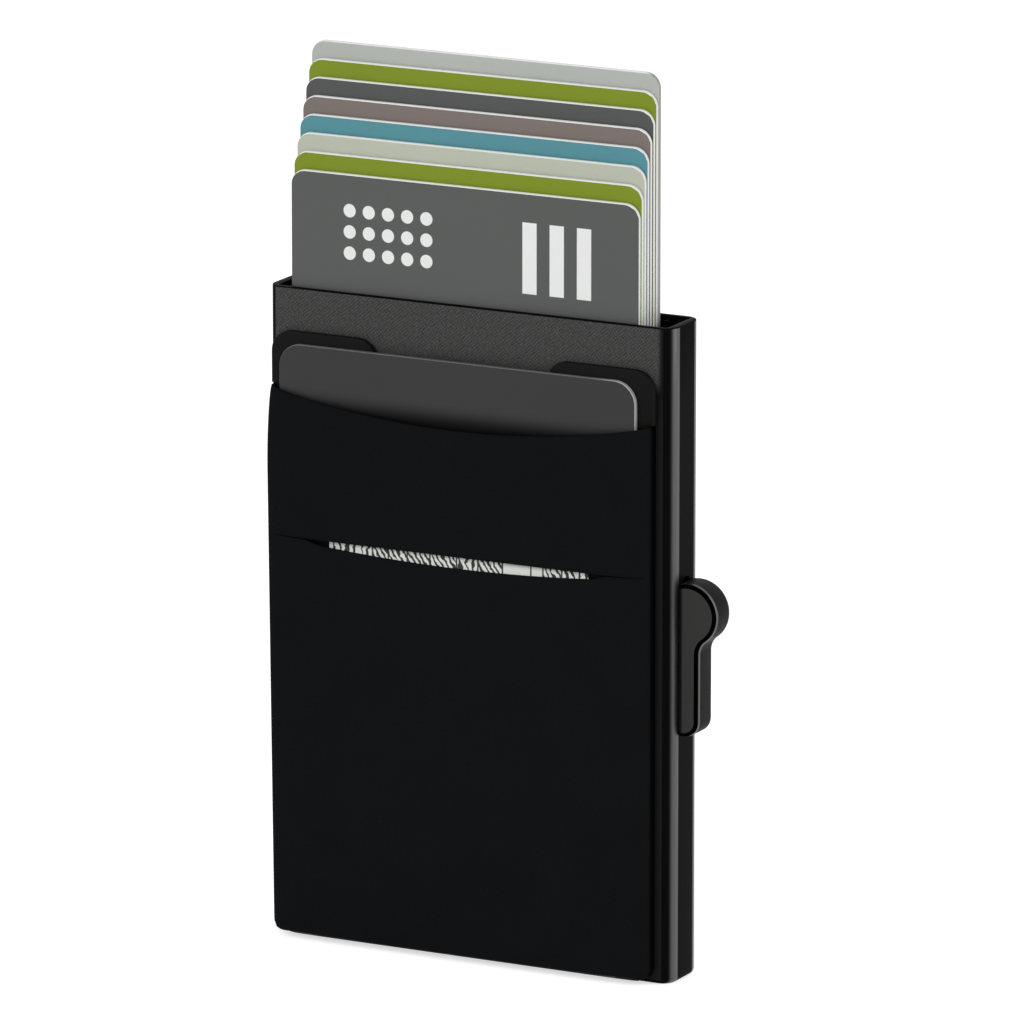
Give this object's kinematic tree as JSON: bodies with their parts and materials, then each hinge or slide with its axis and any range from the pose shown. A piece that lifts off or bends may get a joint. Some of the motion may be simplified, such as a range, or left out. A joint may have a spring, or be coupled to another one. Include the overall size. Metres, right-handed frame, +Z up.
{
  "type": "pop-up card wallet",
  "caption": "Slim metal card wallet whose side lever fans a stack of cards out of the top in steps, with a stretch pocket on the front for a card and a folded note.",
  "frame": {"origin": "centre of the case's flat bottom face", "axes": "+Z up towards the cards, -Y out of the front with the pocket, +X to the side with the lever"},
  "size_m": [0.0688, 0.0122, 0.1268],
  "materials": {
    "anodised_aluminium": "black anodised, grained front",
    "cap_plastic": "moulded, matt",
    "lift_plastic": "moulded, matt",
    "steel": "plain",
    "black_plastic": "fine satin",
    "felt": "short felt",
    "card_1": "satin print, white edge",
    "card_2": "satin print, white edge",
    "card_3": "satin print, white edge",
    "card_4": "satin print, white edge",
    "card_5": "satin print, white edge",
    "card_6": "satin print, white edge",
    "card_7": "satin print, white edge",
    "card_8": "satin print, white edge",
    "plate_plastic": "matt",
    "foam_tape": "foam",
    "stretch_fabric": "fine knit",
    "dark_card": "satin",
    "paper": "printed paper"
  },
  "bodies": {
    "case": {"case_shell": "anodised_aluminium", "base_cap": "cap_plastic", "arm_pivot_pin": "steel", "brake_pad_left": "felt", "brake_pad_right_front": "felt", "brake_pad_right_rear": "felt", "pocket_plate": "plate_plastic", "plate_tape": "foam_tape", "elastic_pocket": "stretch_fabric"},
    "slider": {"slider_carriage": "steel", "thumb_lever": "black_plastic", "slider_spring_front": "steel", "slider_spring_rear": "steel"},
    "lift_arm": {"lift_arm": "lift_plastic", "arm_drive_pin": "steel"},
    "card_1": {"card_1": "card_1"},
    "card_2": {"card_2": "card_2"},
    "card_3": {"card_3": "card_3"},
    "card_4": {"card_4": "card_4"},
    "card_5": {"card_5": "card_5"},
    "card_6": {"card_6": "card_6"},
    "card_7": {"card_7": "card_7"},
    "card_8": {"card_8": "card_8"},
    "pocket_card": {"pocket_card": "dark_card"},
    "banknote": {"banknote": "paper"}
  },
  "joints": [
    {"name": "slider_slide", "type": "slide", "parent": "case", "child": "slider", "axis": [0, 0, 1], "range_m": [-0.013, 0]},
    {"name": "arm_swing", "type": "hinge", "parent": "case", "child": "lift_arm", "pos_m": [-0.02762, 0, 0.0043], "axis": [0, -1, 0], "range_deg": [-40.38, 0]},
    {"name": "card_1_slide", "type": "slide", "parent": "case", "child": "card_1", "axis": [0, 0, 1], "range_m": [-0.0171, 0]},
    {"name": "card_2_slide", "type": "slide", "parent": "case", "child": "card_2", "axis": [0, 0, 1], "range_m": [-0.01956, 0]},
    {"name": "card_3_slide", "type": "slide", "parent": "case", "child": "card_3", "axis": [0, 0, 1], "range_m": [-0.02202, 0]},
    {"name": "card_4_slide", "type": "slide", "parent": "case", "child": "card_4", "axis": [0, 0, 1], "range_m": [-0.02448, 0]},
    {"name": "card_5_slide", "type": "slide", "parent": "case", "child": "card_5", "axis": [0, 0, 1], "range_m": [-0.02694, 0]},
    {"name": "card_6_slide", "type": "slide", "parent": "case", "child": "card_6", "axis": [0, 0, 1], "range_m": [-0.0294, 0]},
    {"name": "card_7_slide", "type": "slide", "parent": "case", "child": "card_7", "axis": [0, 0, 1], "range_m": [-0.03186, 0]},
    {"name": "card_8_slide", "type": "slide", "parent": "case", "child": "card_8", "axis": [0, 0, 1], "range_m": [-0.03432, 0]},
    {"name": "pocket_card_slide", "type": "slide", "parent": "case", "child": "pocket_card", "axis": [0, 0, 1], "range_m": [0, 0.07]},
    {"name": "banknote_slide", "type": "slide", "parent": "case", "child": "banknote", "axis": [0, 0, 1], "range_m": [0, 0.05]}
  ],
  "couplings": [
    {"joint": "arm_swing", "follows": "slider_slide", "rad_per_m": 54.206},
    {"joint": "card_1_slide", "follows": "slider_slide", "ratio": 1.3154},
    {"joint": "card_2_slide", "follows": "slider_slide", "ratio": 1.5046},
    {"joint": "card_3_slide", "follows": "slider_slide", "ratio": 1.6938},
    {"joint": "card_4_slide", "follows": "slider_slide", "ratio": 1.8831},
    {"joint": "card_5_slide", "follows": "slider_slide", "ratio": 2.0723},
    {"joint": "card_6_slide", "follows": "slider_slide", "ratio": 2.2615},
    {"joint": "card_7_slide", "follows": "slider_slide", "ratio": 2.4508},
    {"joint": "card_8_slide", "follows": "slider_slide", "ratio": 2.64}
  ]
}
